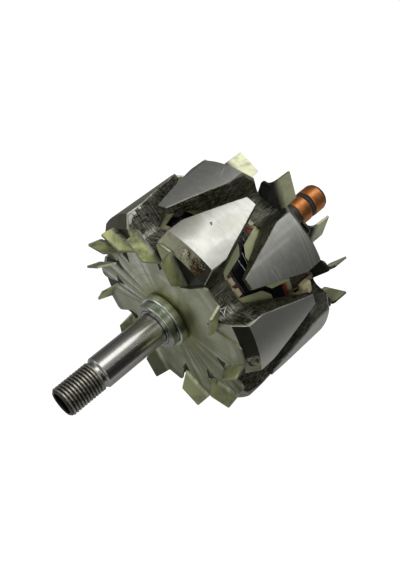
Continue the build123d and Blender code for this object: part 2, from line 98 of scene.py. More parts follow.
class Shader:
    # a material or the world, and the ways to add nodes to it
    def __init__(self, name, kind="materials", out="ShaderNodeOutputMaterial"):
        self.owner = getattr(bpy.data, kind).new(name)
        self.owner.use_nodes = True
        self.tree = self.owner.node_tree
        self.tree.nodes.clear()
        self.out = self.tree.nodes.new(out)

    def node(self, kind, values=(), output=0, **settings):
        made = self.tree.nodes.new("ShaderNode" + kind)
        for key, value in settings.items():
            setattr(made, key, value)
        for key, value in values.items() if isinstance(values, dict) else enumerate(values):
            socket = made.inputs[key]
            if isinstance(value, Wire):
                self.tree.links.new(value.socket, socket)
            elif isinstance(value, tuple) and len(value) == 3 and len(socket.default_value) == 4:
                socket.default_value = (*value, 1)
            else:
                socket.default_value = value
        return Wire(self, made.outputs[output])

    def place(self):
        return self.node("TexCoord", output="Object")

    def mark(self, name):
        # number that the mesh keeps for each point
        return self.node("Attribute", output="Fac", attribute_name=name)

    def split(self, vector):
        parts = self.node("SeparateXYZ", [vector])
        return [Wire(self, socket) for socket in parts.socket.node.outputs]

    def noise(self, place, scale, detail=3, rough=0.55, warp=0):
        vector = self.node("CombineXYZ", place) if isinstance(place, tuple) else place
        values = {"Vector": vector, "Scale": scale, "Detail": detail, "Roughness": rough, "Distortion": warp}
        return self.node("TexNoise", values)

    def cloud(self, *values):
        return self.noise(self.place(), *values)

    def near(self, spot, reach):
        # 1 at a spot given in mm, 0 from reach mm away
        ends = {0: self.place(), 1: tuple(v * mm for v in spot)}
        away = self.node("VectorMath", ends, "Value", operation="DISTANCE")
        return away.step(reach * mm, 0)

    def mix(self, factor, first, second):
        return self.node("Mix", {0: factor, 6: first, 7: second}, 2, data_type="RGBA")

    def surface(self, colour, metallic, rough, height, strength, distance, others=None):
        # Principled surface with a bump
        bump = self.node("Bump", {"Strength": strength, "Distance": distance, "Height": height})
        values = {"Base Color": colour, "Metallic": metallic, "Roughness": rough, "Normal": bump}
        return self.use(self.node("BsdfPrincipled", {**values, **(others or {})}))

    def use(self, made):
        self.tree.links.new(made.socket, self.out.inputs["Surface"])
        return self.owner


def shaftShader(name):
    # material; place along the shaft and distance from its axis in mm; angle from +Z towards -Y in degrees
    shader = Shader(name)
    x, y, z = shader.split(shader.place())
    radius = ((y * y + z * z) ** 0.5) * perMetre
    turn = (y * -1).math("ARCTAN2", z) * math.degrees(1)
    return shader, x * perMetre, radius, turn


# Mesh helpers

def lumps(points, size, seed):
    # smooth noise from -1 to 1: fixed random values at the corners of cubes, blended with 3t^2 - 2t^3
    place = points / size + seed * 13.7
    low = np.floor(place)
    blend = (place - low) ** 2 * (3 - 2 * (place - low))
    total = np.zeros(points.shape[:-1])
    for corner in itertools.product((0, 1), repeat=3):
        value = np.sin((low + corner) @ np.array((127.1, 311.7, 74.7))) * 43758.5453
        weight = np.where(np.array(corner) == 1, blend, 1 - blend).prod(-1)
        total += weight * (2 * (value - np.floor(value)) - 1)
    return total


def ease(value, low, high):
    # as Wire.step, for arrays
    t = np.clip((value - low) / (high - low), 0, 1)
    return t * t * (3 - 2 * t)


def onShaft(x, radius, degrees):
    # points in mm from place along the shaft, radius, and angle from +Z towards -Y
    angle = np.radians(degrees)
    return np.stack(np.broadcast_arrays(x, -radius * np.sin(angle), radius * np.cos(angle)), -1)


class Quilt:
    # grids of points in mm, laid edge to edge and stitched into one mesh, with marks for each point
    def __init__(self):
        self.points, self.faces, self.marks, self.count = [], [], {}, 0

    def lay(self, grid, flip=False, closeRows=False, closeColumns=False, **marks):
        # quads over the grid's rows and columns; returns the number of its first point
        start = self.count
        rows, columns = grid.shape[:2]
        number = np.arange(rows * columns).reshape(rows, columns) + start
        number = np.pad(number, ((0, int(closeRows)), (0, int(closeColumns))), "wrap")
        corners = [number[:-1, :-1], number[:-1, 1:], number[1:, 1:], number[1:, :-1]]
        faces = np.stack(corners, -1).reshape(-1, 4)
        self.faces.extend((faces[:, ::-1] if flip else faces).tolist())
        self.points.append(grid.reshape(-1, 3))
        for name, values in marks.items():
            self.marks.setdefault(name, []).append(np.broadcast_to(values, (rows, columns)).reshape(-1))
        self.count += rows * columns
        return start

    def cap(self, start, count, flip=False):
        # one flat face over points that follow each other
        order = list(range(start, start + count))
        self.faces.append(order[::-1] if flip else order)

    def stitch(self, name, material, sharpDegrees=30, move=None):
        points = np.concatenate(self.points)
        if move is not None:
            points = points + move(points)
        mesh = bpy.data.meshes.new(name)
        mesh.from_pydata((points * mm).tolist(), [], self.faces)
        for mark, values in self.marks.items():
            kept = mesh.attributes.new(mark, "FLOAT", "POINT")
            kept.data.foreach_set("value", np.concatenate(values).astype(np.float32))
        merge(mesh)
        return finishPiece(name, mesh, material, sharpDegrees)


def merge(mesh):
    work = bmesh.new()
    work.from_mesh(mesh)
    bmesh.ops.remove_doubles(work, verts=work.verts, dist=1e-6)
    bmesh.ops.dissolve_degenerate(work, edges=work.edges, dist=1e-7)
    work.to_mesh(mesh)
    work.free()


def keepRear(mesh, fromX):
    # what lies beyond a place along the shaft, with its cut closed
    work = bmesh.new()
    work.from_mesh(mesh)
    everything = work.verts[:] + work.edges[:] + work.faces[:]
    cut = bmesh.ops.bisect_plane(work, geom=everything, plane_co=(fromX * mm, 0, 0), plane_no=(-1, 0, 0),
                                 clear_outer=True)
    rim = [part for part in cut["geom_cut"] if isinstance(part, bmesh.types.BMEdge)]
    bmesh.ops.contextual_create(work, geom=rim)
    work.to_mesh(mesh)
    work.free()


def addObject(name, data):
    made = bpy.data.objects.new(name, data)
    bpy.context.collection.objects.link(made)
    return made


def finishPiece(name, mesh, material, sharpDegrees):
    mesh.materials.clear()
    mesh.materials.append(material)
    mesh.shade_smooth()
    mesh.set_sharp_from_angle(angle=math.radians(sharpDegrees))
    made = addObject(name, mesh)
    # large flat faces keep their own shading next to small curved ones
    even = made.modifiers.new("evenShading", "WEIGHTED_NORMAL")
    even.keep_sharp = True
    even.weight = 100
    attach(made, "root")
    return made


def pillow(name, middle, half, material):
    # rounded block: a sphere's coordinates, each to the power 0.35 with its sign kept; middle is place along
    # the shaft, radius and angle, and half sizes run along the shaft, round it and outwards
    up = np.linspace(-math.pi / 2, math.pi / 2, 25)[:, None]
    around = np.arange(48) * math.pi / 24

    def rounded(value):
        return np.sign(value) * np.abs(value) ** 0.35

    x = middle[0] + half[0] * rounded(np.cos(up)) * rounded(np.cos(around))
    aside = half[1] * rounded(np.cos(up)) * rounded(np.sin(around))
    outwards = middle[1] + half[2] * rounded(np.sin(up))
    turn = middle[2] + np.degrees(np.arctan2(aside, outwards))
    quilt = Quilt()
    quilt.lay(onShaft(x, np.hypot(aside, outwards), turn), True, closeColumns=True)
    return quilt.stitch(name, material, 60)


def strands(name, paths, size, material):
    # thin shavings: each is a tube along a path of (x, radius, angle) with a radius of size * sin(pi t) ^ 0.4
    quilt = Quilt()
    t = np.linspace(0, 1, 24)
    around = np.arange(8) * math.pi / 4
    for path in paths:
        knots = np.array([onShaft(*spot) for spot in path])
        line = np.stack([np.interp(t, np.linspace(0, 1, len(knots)), knots[:, i]) for i in range(3)], 1)
        line[1:-1] = (line[:-2] + line[1:-1] * 2 + line[2:]) / 4
        along = np.gradient(line, axis=0)
        along /= np.linalg.norm(along, axis=1)[:, None]
        side = np.cross(along, (0.3, 0.2, 0.93))
        side /= np.linalg.norm(side, axis=1)[:, None]
        third = np.cross(along, side)
        width = (size * np.sin(math.pi * t).clip(0) ** 0.4)[:, None, None]
        ring = side[:, None, :] * np.cos(around)[..., None] + third[:, None, :] * np.sin(around)[..., None]
        quilt.lay(line[:, None, :] + ring * width, closeColumns=True)
    return quilt.stitch(name, material, 60)


def standIn(piece, node):
    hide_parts(node)
    return piece


def roundOff(outline, size):
    # (x, r) outline with a short curve at each corner between its ends
    outline = np.asarray(outline, float)
    made = [outline[:1]]
    for before, corner, after in zip(outline[:-2], outline[1:-1], outline[2:]):
        inward, outward = before - corner, after - corner
        reach = min(size, 0.45 * np.hypot(*inward), 0.45 * np.hypot(*outward))
        start = corner + inward / np.hypot(*inward) * reach
        end = corner + outward / np.hypot(*outward) * reach
        t = np.linspace(0, 1, 4)[:, None]
        made.append((1 - t) ** 2 * start + 2 * t * (1 - t) * corner + t ** 2 * end)
    made.append(outline[-1:])
    return np.concatenate(made)


def turned(name, outline, material, sharpDegrees=30):
    # surface of revolution: a closed (x, r) outline in mm, which runs up a front face, rearwards along the
    # outside and down a rear face, carried once round the shaft
    outline = np.asarray(outline, float)
    quilt = Quilt()
    grid = onShaft(outline[:, :1], outline[:, 1:], np.arange(128) * 360 / 128)
    quilt.lay(grid, closeRows=True, closeColumns=True)
    return quilt.stitch(name, material, sharpDegrees)


def recast(node, name, material, keepFrom=None):
    # the CAD node's own shape, merged so that its round faces shade smoothly
    mesh = nodes[node].data.copy()
    merge(mesh)
    if keepFrom is not None:
        keepRear(mesh, keepFrom)
    return standIn(finishPiece(name, mesh, material, creaseAngle), node)


def paintCutEdges(piece, material, sideArea):
    # a second material on a sheet's cut edges: every smooth patch of faces that is smaller than a side
    mesh = piece.data
    work = bmesh.new()
    work.from_mesh(mesh)
    limit = math.radians(creaseAngle)
    links = np.array([[face.index for face in edge.link_faces] for edge in work.edges
                      if len(edge.link_faces) == 2 and edge.calc_face_angle() < limit])
    areas = np.array([face.calc_area() for face in work.faces]) / mm ** 2
    work.free()
    patch = np.arange(len(areas))
    while True:
        fresh = patch.copy()
        np.minimum.at(fresh, links, patch[links].min(1)[:, None])
        fresh = fresh[fresh]
        if (fresh == patch).all():
            break
        patch = fresh
    patchArea = np.bincount(patch, weights=areas, minlength=len(areas))
    mesh.materials.append(material)
    mesh.polygons.foreach_set("material_index", (patchArea[patch] < sideArea).astype(np.int32))


# Materials

def turnedSteelMaterial():
    # ground rings; a painted shoulder inside the collar, and painted shade in the gap round it
    shader, x, radius, turn = shaftShader("turnedSteel")
    journal, seat = shaft["journalRadius"], shaft["seatRadius"]
    rings = shader.noise((x, turn * 0.004, radius * 0.3), 6, 5, 0.75)
    colour = shader.mix(shader.cloud(90, 3), (0.4, 0.39, 0.36), (0.5, 0.49, 0.46))
    colour.lay(rings.step(0.45, 0.75) * 0.5, (0.64, 0.63, 0.59))
    shoulder = radius.step(journal + 0.05, journal + 0.15) * x.step(0.6, 0.3)
    colour.lay(shoulder * x.step(-0.5, -0.3), (0.4, 0.43, 0.38))
    # painted shade in the gaps between the journal, the seat and the collar
    inner = radius.step(journal + 0.35, journal + 0.2) * x.band(0, 0.3, 0.25)
    outer = radius.step(seat - 0.25, seat - 0.1) * x.band(0, 0.3, 0.1)
    colour.lay((inner + outer * 0.35) * 0.9, (0.015, 0.014, 0.012))
    return shader.surface(colour, 1, rings * 0.12 + 0.17, rings, 0.12, 0.00003)


def threadMaterial():
    # painted shade in the grooves and in the socket
    shader, x, radius, _ = shaftShader("threadSteel")
    crest, socket, start = shaft["threadRadius"], shaft["socketRadius"], shaft["start"]
    grain = shader.cloud(800, 4, 0.7)
    # painted shade in the grooves, paler on the crests
    colour = shader.mix(radius.step(crest - 0.65, crest - 0.1), (0.08, 0.076, 0.06), (0.38, 0.37, 0.32))
    colour.lay(grain.step(0.45, 0.8) * 0.5, (0.12, 0.1, 0.08))
    # painted shade inside the socket
    socketShade = radius.step(socket + 0.5, socket + 0.1) * x.step(start + 0.3, start + 1.6)
    colour.lay(socketShade, (0.012, 0.011, 0.012))
    return shader.surface(colour, 1, grain * 0.2 + 0.25, grain, 0.2, 0.00004)


def zincMaterial():
    # a duller front step and front face, an olive rear step, painted shade in the neck and at the bore edge,
    # and a painted dark reflection on the lower side
    shader, x, radius, turn = shaftShader("zincPlate")
    step, end, bore = collar["frontLength"], collar["length"], collar["bore"]
    rings = shader.noise((x, turn * 0.004, radius * 0.5), 5, 4, 0.7)
    colour = shader.mix(shader.cloud(160, 3), (0.52, 0.57, 0.5), (0.68, 0.73, 0.65))
    colour.lay(x.step(step + 0.1, step - 0.4) * 0.4, (0.28, 0.31, 0.26))
    colour.lay(x.step(0.45, 0.15) * 0.7, (0.34, 0.36, 0.32))
    colour.lay(x.step(*collar["olive"]) * 0.7, (0.36, 0.36, 0.17))
    # painted shade in the neck against the fan
    colour.lay(x.step(end - 0.6, end - 0.4) * 0.85, (0.04, 0.04, 0.025))
    # painted dark reflection on one side
    colour.lay(turn.band(*collar["darkReflectionSector"]) * 0.75, (0.12, 0.13, 0.09))
    # painted shade at the bore edge
    colour.lay(radius.step(bore + 0.27, bore + 0.12) * 0.5, (0.02, 0.02, 0.018))
    return shader.surface(colour, 1, rings * 0.1 + 0.17, rings, 0.06, 0.00003)


def chromateMaterial(name, fan):
    # mottled olive chromate; creases and rings on the flat sheet, painted shade in the roots of the blades,
    # and painted light, shade and reflection at the places listed below
    shader, x, radius, turn = shaftShader(name)
    cloud = shader.cloud(55, 4, 0.6, 0.6)
    fine = shader.cloud(420, 4, 0.65)
    rise = (x - fan["face"]) * fan["way"]
    blade = rise.step(0.6, 2)
    flat = 1 - blade
    colour = shader.mix(cloud.step(0.38, 0.66), (0.38, 0.4, 0.29), (0.66, 0.68, 0.52))
    green = shader.mix(cloud.step(0.42, 0.6), *fan["green"])
    # painted light on the blades in the listed sectors
    for middle, half, strength in fan["paintedLight"]:
        green.lay(turn.band(middle, half, 6) * strength * cloud.step(0.38, 0.52), fan["paintedLightGreen"])
    colour.lay(blade * 0.9, green)
    colour.lay(fine.step(0.5, 0.8) * 0.45, (0.6, 0.6, 0.4))
    # painted shade on the blades in the listed sectors
    for middle, half, strength in fan["paintedShade"]:
        colour.lay(turn.band(middle, half, 12) * strength * blade, (0.12, 0.125, 0.08))
    # dark and pale creases and broader rays run out from the hub over the sectors that are listed
    crease = shader.noise((turn * 0.3, radius * 0.01, 0), 1, 2, 0.5)
    rays = shader.noise((turn * 0.16, radius * 0.015, 3), 1, 2, 0.6)
    reach = radius.step(*fans["creaseStart"]) * flat
    sectors = 0
    for middle, half in fan["creased"]:
        sectors = turn.band(middle, half, 6) + sectors
    lines = crease.band(0.5, 0.01, 0.022) * sectors * reach
    colour.lay(lines * 0.85, (0.055, 0.055, 0.038))
    colour.lay(crease.band(0.47, 0.008, 0.02) * sectors * reach * 0.5, (0.62, 0.64, 0.5))
    colour.lay(rays.step(0.52, 0.6) * sectors * reach * 0.75, (0.78, 0.8, 0.71))
    colour.lay(rays.step(0.48, 0.38) * sectors * reach * 0.7, (0.17, 0.17, 0.12))
    rings = shader.noise((radius * 0.5, turn * 0.002, 0), 1, 2).step(0.5, 0.62)
    colour.lay(rings * reach * 0.25, (0.2, 0.21, 0.12))
    # painted reflection round the hub, a darker patch and painted shade on the lower half
    colour.lay((radius + cloud * 8).step(*fans["hubReflection"]) * flat * 0.6, (0.3, 0.3, 0.09))
    darkPatch = (radius + cloud * 16).step(*fans["darkPatchReach"]) * turn.band(*fans["darkPatchSector"]) * flat
    colour.lay(darkPatch * 0.9, (0.13, 0.13, 0.045))
    colour.lay(turn.band(*fans["shadedLowerSector"]) * flat * 0.35, (0.26, 0.27, 0.15))
    # painted shade in the form of narrow slots at the inner ends of the blades, each a leaning wedge
    lean = turn - (radius - fans["slotLeanFrom"]) * fans["slotLean"]
    nearest = 180
    for angle in fan["slots"]:
        nearest = (lean - angle).absolute().least(nearest)
    wedge = nearest - (radius - fans["slotPoint"]) * fans["slotWidening"]
    colour.lay(wedge.step(0.6, 0.1) * radius.band(*fans["slotBand"]) * flat, (0.006, 0.006, 0.005))
    # painted shade in the roots of the blades
    bladeRootShade = radius.step(fan["bladeRootShadeFrom"], fan["bladeRootShadeFrom"] + 3) * (cloud * 0.6 + 0.72)
    bladeRootShade = bladeRootShade * rise.step(fan["bladeRootShadeHeight"], fan["bladeRootShadeHeight"] * 0.15)
    colour.lay(bladeRootShade * fan["bladeRootShade"], (0.008, 0.009, 0.013))
    height = fine * 0.3 + cloud * 0.5 - lines * 0.6
    return shader.surface(colour, fan["metallic"], fine * 0.2 + 0.3, height, 0.3, 0.0002)


def cutSheetMaterial():
    # bare cut edges of the fans, with painted shade in the roots of the blades at the slip rings
    shader, x, radius, _ = shaftShader("cutSheet")
    cloud = shader.cloud(350, 4, 0.6)
    colour = shader.mix(cloud, (0.1, 0.1, 0.06), (0.58, 0.58, 0.4))
    edgeShadeEnd = fans["edgeShadeTo"]
    # painted shade in the roots of the blades
    root = x.step(63, 63.3) * x.step(edgeShadeEnd + 1.5, edgeShadeEnd) * radius.step(33, 35)
    colour.lay(root * 0.93, (0.045, 0.048, 0.038))
    return shader.surface(colour, 0.8, cloud * 0.2 + 0.28, cloud, 0.15, 0.0001)


def forgingMaterial():
    # machined outer faces, a half cleaned bevel, and dark varnished sides and valleys with a bare rough rim;
    # painted light, shade, highlights and dark reflections are laid over them at listed places
    shader, x, radius, turn = shaftShader("forgedSteel")
    finish = shader.mark("finish")
    depth = shader.mark("depth")
    marks = shader.noise((x, turn * 0.012, 0), 4, 5, 0.75)
    smears = shader.noise((x * 0.12, turn * 0.05, 0), 3, 5, 0.65, 0.8)
    combed = shader.noise((x * 0.22, turn, radius), 1, 4, 0.7)
    hatch = shader.noise((x * 1.8, turn * 0.14, radius * 0.14), 1, 3, 0.6)
    cloud = shader.cloud(60, 4, 0.6)
    patchy = shader.cloud(190, 5, 0.65)
    grain = shader.cloud(900, 5, 0.7)
    bead = shader.cloud(1700, 2)
    # machined skin
    bare = shader.mix(smears.step(0.3, 0.7), (0.5, 0.5, 0.46), (0.61, 0.61, 0.56))
    bare.lay(marks.step(0.42, 0.75) * 0.35, (0.78, 0.78, 0.73))
    bare.lay(marks.step(0.45, 0.34) * 0.25, (0.26, 0.26, 0.24))
    # painted light and painted shade on whole skins
    for middle, half, strength, tone in pole["skinLightAndShade"]:
        bare.lay(turn.band(middle, half, 4) * strength, tone)
    # dull patches, partly real smears and partly painted shade
    for fromX, middle, length, breadth, strength in pole["smears"]:
        along = ((x - fromX) / length) ** 2 + ((turn - middle) / breadth) ** 2
        bare.lay((along + (cloud - 0.5) * 1.6).step(1, 0.2) * strength, (0.34, 0.33, 0.26))
    # varnished sides and valleys
    dark = shader.mix(grain.step(0.35, 0.7), (0.022, 0.021, 0.014), (0.15, 0.147, 0.1))
    dark.lay(patchy.step(0.48, 0.68) * 0.7, (0.22, 0.22, 0.16))
    dark.lay(cloud.step(0.5, 0.68) * 0.55, (0.12, 0.125, 0.05))
    dark.lay(depth.step(6, 11) * 0.4, (0.24, 0.24, 0.18))
    # painted light and painted shade on the sides
    for fromX, toX, middle, half, strength, tone in pole["paintedLightAndShade"]:
        dark.lay(x.between(fromX, toX, 2) * turn.band(middle, half, 5) * strength, tone)
    # sector of painted shade: fewer pale lines and a weaker rim
    paintedShade = turn.band(*pole["shadedSideSector"])
    dark.lay(combed.step(0.54, 0.64) * (0.6 - paintedShade * 0.5), (0.32, 0.32, 0.25))
    # fine cross lines; the pale strokes are partly painted highlight
    for fromX, toX, middle, half in pole["hatched"]:
        cut = x.between(fromX, toX, 4) * turn.band(middle, half, 5)
        dark.lay(cut * hatch.step(0.5, 0.58) * 0.7, (0.48, 0.48, 0.4))
        dark.lay(cut * hatch.step(0.48, 0.42) * 0.6, (0.015, 0.015, 0.01))
    dark.lay(combed.step(0.48, 0.38) * 0.9, (0.01, 0.01, 0.007))
    # painted shade on the fan face, except in one sector
    front = x.step(pole["faceX"] + 0.4, pole["faceX"] + 0.15) * (1 - turn.band(*pole["unshadedFront"]))
    dark.lay(front * 0.9, (0.012, 0.012, 0.009))
    # painted highlights
    for spot, reach in pole["glints"]:
        glint = (shader.near(spot, reach) + (patchy - 0.5) * 2).step(0.45, 0.6)
        dark.lay(glint * 0.9, (0.95, 0.95, 0.9))
    rooted = x.step(21, 12).most(x.step(52, 61) * turn.step(72, 62))
    rim = (depth + patchy * 1.2 + bead * 1.6 - rooted * 1.3).step(2.1, 1.6) * (1 - front)
    dark.lay(rim * (0.9 - paintedShade * 0.6), (0.56, 0.56, 0.46))
    # bevel
    bevel = shader.mix(cloud.step(0.35, 0.65), (0.2, 0.2, 0.13), (0.36, 0.36, 0.26))
    bevel.lay(grain.step(0.5, 0.8) * 0.5, (0.55, 0.55, 0.42))
    # stains and painted dark reflection on the bevels
    for middle, half, soft, strength in pole["stainsAndDarkReflection"]:
        bevel.lay((turn + (patchy - 0.5) * 12).band(middle, half, soft) * strength, (0.024, 0.024, 0.017))
    rustHighlight = patchy.step(0.52, 0.57) * grain.step(0.48, 0.58)
    for spot, reach in pole["rust"]:
        rusty = shader.near(spot, reach).step(0, 0.4)
        rustTone = shader.mix(grain.step(0.42, 0.66), (0.01, 0.006, 0.004), (0.17, 0.075, 0.028))
        bevel.lay(rusty * (patchy * 0.6 + bead * 0.4).step(0.53, 0.46) * 0.95, rustTone)
        # painted highlights round the rust
        bevel.lay(rusty.step(0.3, 1) * rustHighlight * bead.step(0.5, 0.58) * 0.9, (0.92, 0.85, 0.62))
    machined = finish.step(0.7, 0.8)
    bevelled = finish.step(0.3, 0.4)
    colour = shader.mix(bevelled, dark, bevel)
    colour.lay(machined, bare)
    for fromX, slope, middle, half, width, strength in pole["scratches"]:
        off = x - fromX - (turn - middle) * slope
        line = off.band(0, width, width) * turn.band(middle, half, 0.6) * machined
        colour.lay(line * strength, (0.85, 0.85, 0.82))
    # painted highlights along the shaft
    for fromX, toX, middle, half, strength in pole["paintedHighlightLines"]:
        line = x.between(fromX + 3, toX - 3, 4) * turn.band(middle, half, 1.1) * machined
        colour.lay(line * strength, (0.8, 0.8, 0.76))
    for spot, reach in pole["nicks"]:
        colour.lay(shader.near(spot, reach).step(0.2, 0.5) * 0.9, (0.03, 0.025, 0.02))
    height = marks * machined * 0.25 + (grain * 0.5 + patchy + combed) * (1 - machined)
    return shader.surface(colour, bevelled * 0.25 + 0.7, marks * 0.1 + 0.3 + bevelled * 0.06,
                          height, 0.5, 0.0003)


def copperWireMaterial():
    # dark red enamel, with painted light at the slip ring end
    shader, x, _, _ = shaftShader("enamelledCopper")
    cloud = shader.cloud(900, 4, 0.6)
    colour = shader.mix(cloud, (0.025, 0.007, 0.004), (0.11, 0.024, 0.012))
    colour.lay(x.step(*coil["paintedLightWire"]), shader.mix(cloud, (0.16, 0.03, 0.015), (0.45, 0.1, 0.05)))
    return shader.surface(colour, 0.2, cloud * 0.2 + 0.18, cloud, 0.15, 0.0001)


def tapeMaterial():
    # black varnish with painted highlights: thin pale lines along its creases
    shader, x, _, turn = shaftShader("varnishedTape")
    cloud = shader.cloud(200, 4, 0.6)
    colour = shader.mix(cloud, (0.003, 0.004, 0.005), (0.009, 0.011, 0.013))
    for fromX, slope, middle, half, width, strength in coil["glints"]:
        off = x - fromX - (turn - middle) * slope + (cloud - 0.5) * 0.6
        line = off.band(0, width, width) * turn.band(middle, half, 1)
        colour.lay(line * strength, (0.75, 0.78, 0.82))
    return shader.surface(colour, 0, cloud * 0.2 + 0.04, cloud, 0.3, 0.0004, {"Specular IOR Level": 0.22})


def ringCopperMaterial():
    shader, x, _, turn = shaftShader("ringCopper")
    tracks = shader.noise((x, turn * 0.003, 0), 3.5, 4, 0.7)
    cloud = shader.cloud(260, 4, 0.65)
    colour = shader.mix(cloud.step(0.3, 0.7), (0.4, 0.135, 0.035), (0.62, 0.25, 0.08))
    colour.lay(tracks.step(0.5, 0.75) * 0.5, (0.75, 0.36, 0.13))
    return shader.surface(colour, 0.85, tracks * 0.15 + 0.3, tracks + cloud * 0.4, 0.2, 0.00005)


def plainMaterial(name, low, high, scale, metallic, rough, bump=0.15):
    shader = Shader(name)
    cloud = shader.cloud(scale, 4, 0.6)
    return shader.surface(shader.mix(cloud, low, high), metallic, cloud * 0.2 + rough, cloud, bump, 0.0001)


print("materials")
# darkest and palest colour, scale of the mottling, metallic, roughness, and strength of the bump
plainLooks = {
    "brownLead": ((0.1, 0.05, 0.025), (0.22, 0.12, 0.05), 500, 0.1, 0.25),
    "creamNylon": ((0.26, 0.24, 0.14), (0.56, 0.52, 0.33), 240, 0, 0.3),
    # the bobbin's nylon with painted light, for the lug
    "lugNylonPaintedLight": ((0.62, 0.55, 0.26), (0.95, 0.88, 0.52), 240, 0, 0.3),
    "olivePaper": ((0.2, 0.21, 0.11), (0.36, 0.37, 0.2), 160, 0, 0.3, 0.3),
    # the same insulating paper with painted light
    "paperPaintedLight": ((0.36, 0.38, 0.2), (0.6, 0.62, 0.34), 160, 0, 0.3, 0.3),
    # painted shadow along the papers' cut edges
    "paperEdgeShadow": ((0.03, 0.03, 0.016), (0.07, 0.07, 0.035), 300, 0, 0.4),
    "bareBurr": ((0.8, 0.8, 0.74), (0.97, 0.97, 0.92), 400, 0.5, 0.2),
    "blackMoulding": ((0.014, 0.013, 0.012), (0.045, 0.04, 0.035), 300, 0, 0.35),
    "softSolder": ((0.4, 0.4, 0.4), (0.6, 0.6, 0.6), 300, 1, 0.3),
    "wovenSleeve": ((0.16, 0.13, 0.08), (0.3, 0.26, 0.17), 500, 0, 0.5),
}
plain = {name: plainMaterial(name, *look) for name, look in plainLooks.items()}
ringCopper = ringCopperMaterial()


# Pole pieces

pole = {
    "faceX": 9.5, "otherFaceX": 63.4,             # mm, the two fan faces
    "length": 40, "web": 13, "straight": 12.35,
    "radius": 49.7, "bore": 8.78,
    "bevelLength": 4.5, "bevelDepth": 5,
    "halfWidth": 12.4, "flare": 1, "tipHalfWidth": 2.7,
    "rootInner": 37.3, "tipInner": 46.7,
    "valleyRadius": 37, "fillet": 5,
    "edgeBreak": 0.24, "edgeBreakSpread": 0.14,
    "roughness": (0.16, 3.2, 0.09, 1.1),          # height and size of the large lumps, then of the small ones
    # where the roughness rises: depth below the skin, place behind the fan face, and radius
    "roughDepth": (0.45, 1.3), "roughPlace": (0.1, 1), "roughRadius": (30, 34),
    "claws": 6, "firstDriveClaw": 15, "firstSlipClaw": 45,
    "leadTurns": (75, 255), "notchHalf": 1.9, "notchDepth": 3.1,
    # rows and columns of the grids
    "bevelRows": 9, "webRows": 17, "freeRows": 48, "flankColumns": (9, 17), "skinColumns": 33,
    "roundColumns": 11, "floorColumns": 7, "coneColumns": 13,
    "deep": 12,                                   # mm below the skin, for the rim in the material
    # shavings on the edge of a valley: paths of place along the shaft, radius and angle
    "shavingSize": 0.2,
    "shavings": [((10.6, 38, 45.5), (12.8, 38.6, 49.7), (16.3, 38.2, 51.1)),
                 ((15, 38.4, 50.6), (12.6, 38.9, 52.6), (11.9, 38.2, 55.5)),
                 ((11.2, 38, 47.5), (12, 38.7, 50.5), (12.8, 38, 56.3))],
    # sectors with painted shade on the sides, and where the front face has no painted shade: middle, half
    # width and soft edge in degrees
    "shadedSideSector": (92, 15, 5), "unshadedFront": (64, 9, 6),
    # places of rust in mm, with their reach
    "rust": [((11.5, -12.1, 45.4), 3.8), ((11.7, -18.4, 43.4), 4.8), ((11.7, -46.5, 6), 4)],
    # dark stretches of the bevels, partly stains and partly painted dark reflection: middle, half width and
    # soft edge in degrees, and strength
    "stainsAndDarkReflection": [(32, 6.5, 5, 0.92), (64, 15, 3.5, 0.96), (-44, 18, 6, 0.55)],
    # painted light and painted shade on the raw sides: from and to along the shaft, middle and half width in
    # degrees, strength, colour
    "paintedLightAndShade": [(9, 64, 92, 15, 0.8, (0.01, 0.01, 0.008)), (51, 64, 20, 14, 0.6, (0.03, 0.03, 0.02)),
               (9, 30, -27, 9, 0.3, (0.3, 0.3, 0.23)), (9, 24, -9, 5, 0.4, (0.02, 0.02, 0.015)),
               (50, 62, -4, 4, 0.6, (0.17, 0.17, 0.12))],
    # stretches with fine cross lines, whose pale strokes are partly painted highlight: from and to along the
    # shaft, middle and half width in degrees
    "hatched": [(12, 26, -25, 10), (11, 18, 55, 8)],
    # painted light and painted shade on the skins: middle and half width in degrees, strength and colour
    "skinLightAndShade": [(75, 13, 0.55, (0.76, 0.75, 0.69)), (-48, 20, 0.55, (0.2, 0.2, 0.17))],
    # painted highlights on the dark sides, with their reach
    "glints": [((12.3, 23, 40.6), 2), ((13.6, 23.5, 41.1), 1.9), ((17, 24.2, 41.7), 1.5),
               ((20.5, 24.4, 42.1), 1.4), ((12.9, 23.2, 40.9), 2.2), ((14.9, 23.8, 41.4), 1.6)],
    "nicks": [((28.8, -9.9, 48.7), 0.9), ((28.3, -10.6, 48.55), 0.6)],
    # dull patches of the skin, partly painted shade: place along the shaft, angle, length, breadth in degrees
    # and strength
    "smears": [(20, 4, 10, 9, 0.6), (36, -42, 34, 20, 0.75), (33, 17, 10, 5, 0.3), (24, 24, 6, 3, 0.3)],
    # painted highlights along the shaft: from and to along the shaft, angle and half width in degrees, and
    # strength
    "paintedHighlightLines": [(27, 52, 40.2, 0.35, 0.5), (44, 60, 36.5, 0.5, 0.35)],
    # place along the shaft, slope, angle, half span, half width and strength of each scratch
    "scratches": [(56.7, -0.113, 48.5, 13.3, 0.13, 0.8), (54.6, -0.141, 50.2, 9.1, 0.12, 0.75),
                  (57.6, -0.113, 50.5, 8, 0.08, 0.6), (37.6, -0.02, 49.3, 3.1, 0.15, 0.85),
                  (35.6, 0.074, 49.7, 2.8, 0.13, 0.8), (49.9, -5.6, 52.4, 0.6, 0.4, 0.5),
                  (54.2, 6, -9.3, 0.4, 0.45, 1), (54.3, -1.53, -8.9, 1.4, 0.26, 1),
                  (53.2, 0.05, -15, 6, 0.06, 0.3), (50.5, -0.05, 2, 5, 0.06, 0.3)],
}


